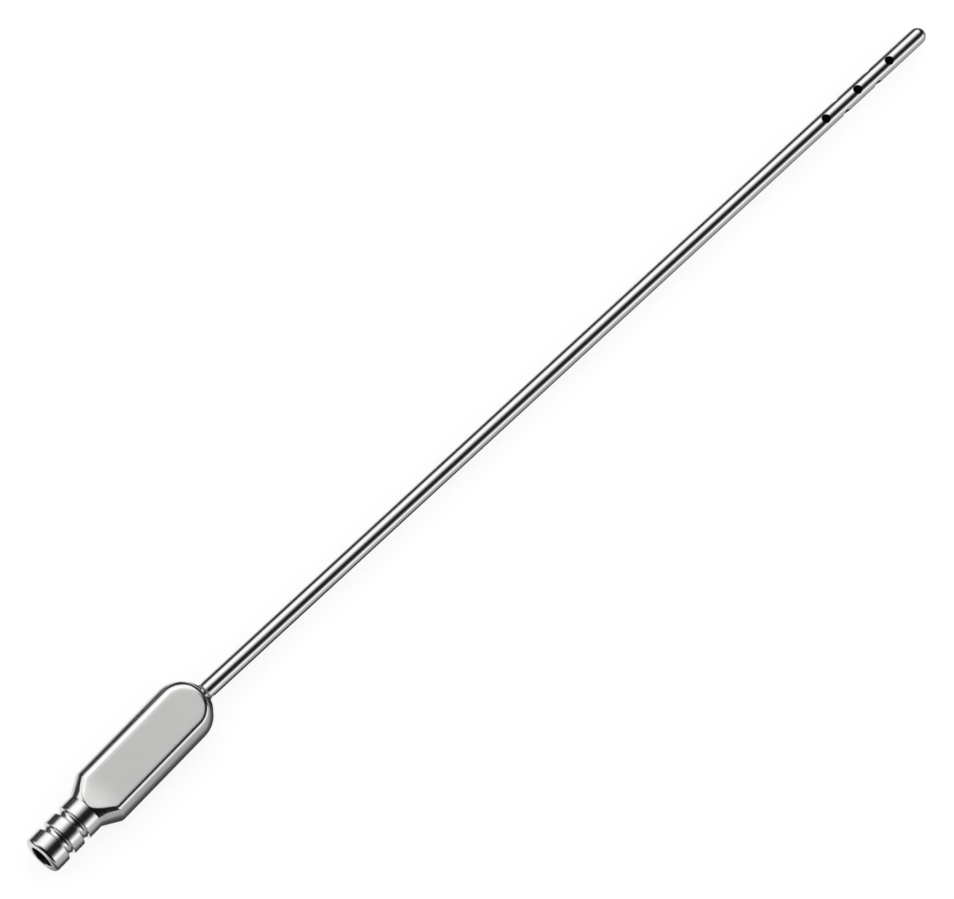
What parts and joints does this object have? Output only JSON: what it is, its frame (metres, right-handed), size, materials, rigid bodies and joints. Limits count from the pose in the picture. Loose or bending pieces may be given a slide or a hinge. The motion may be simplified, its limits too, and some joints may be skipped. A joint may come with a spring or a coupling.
{
  "type": "fat harvesting cannula",
  "caption": "Steel suction cannula with a flat-sided grip, grooved collar, luer bore and a long blunt tube with round ports near its closed tip.",
  "frame": {"origin": "centre of the luer mouth, on the hub's rear face", "axes": "+X along the hub's axis towards the tip, +Z the outward normal of the upper flat, which the top row of ports faces"},
  "size_m": [0.214, 0.0163, 0.0074],
  "materials": {
    "hub_steel": "polished, with satin flats",
    "tube_steel": "polished",
    "brazing_metal": "satin"
  },
  "bodies": {
    "root": {"hub": "hub_steel", "cannula_tube": "tube_steel", "braze_joint": "brazing_metal"}
  },
  "joints": []
}
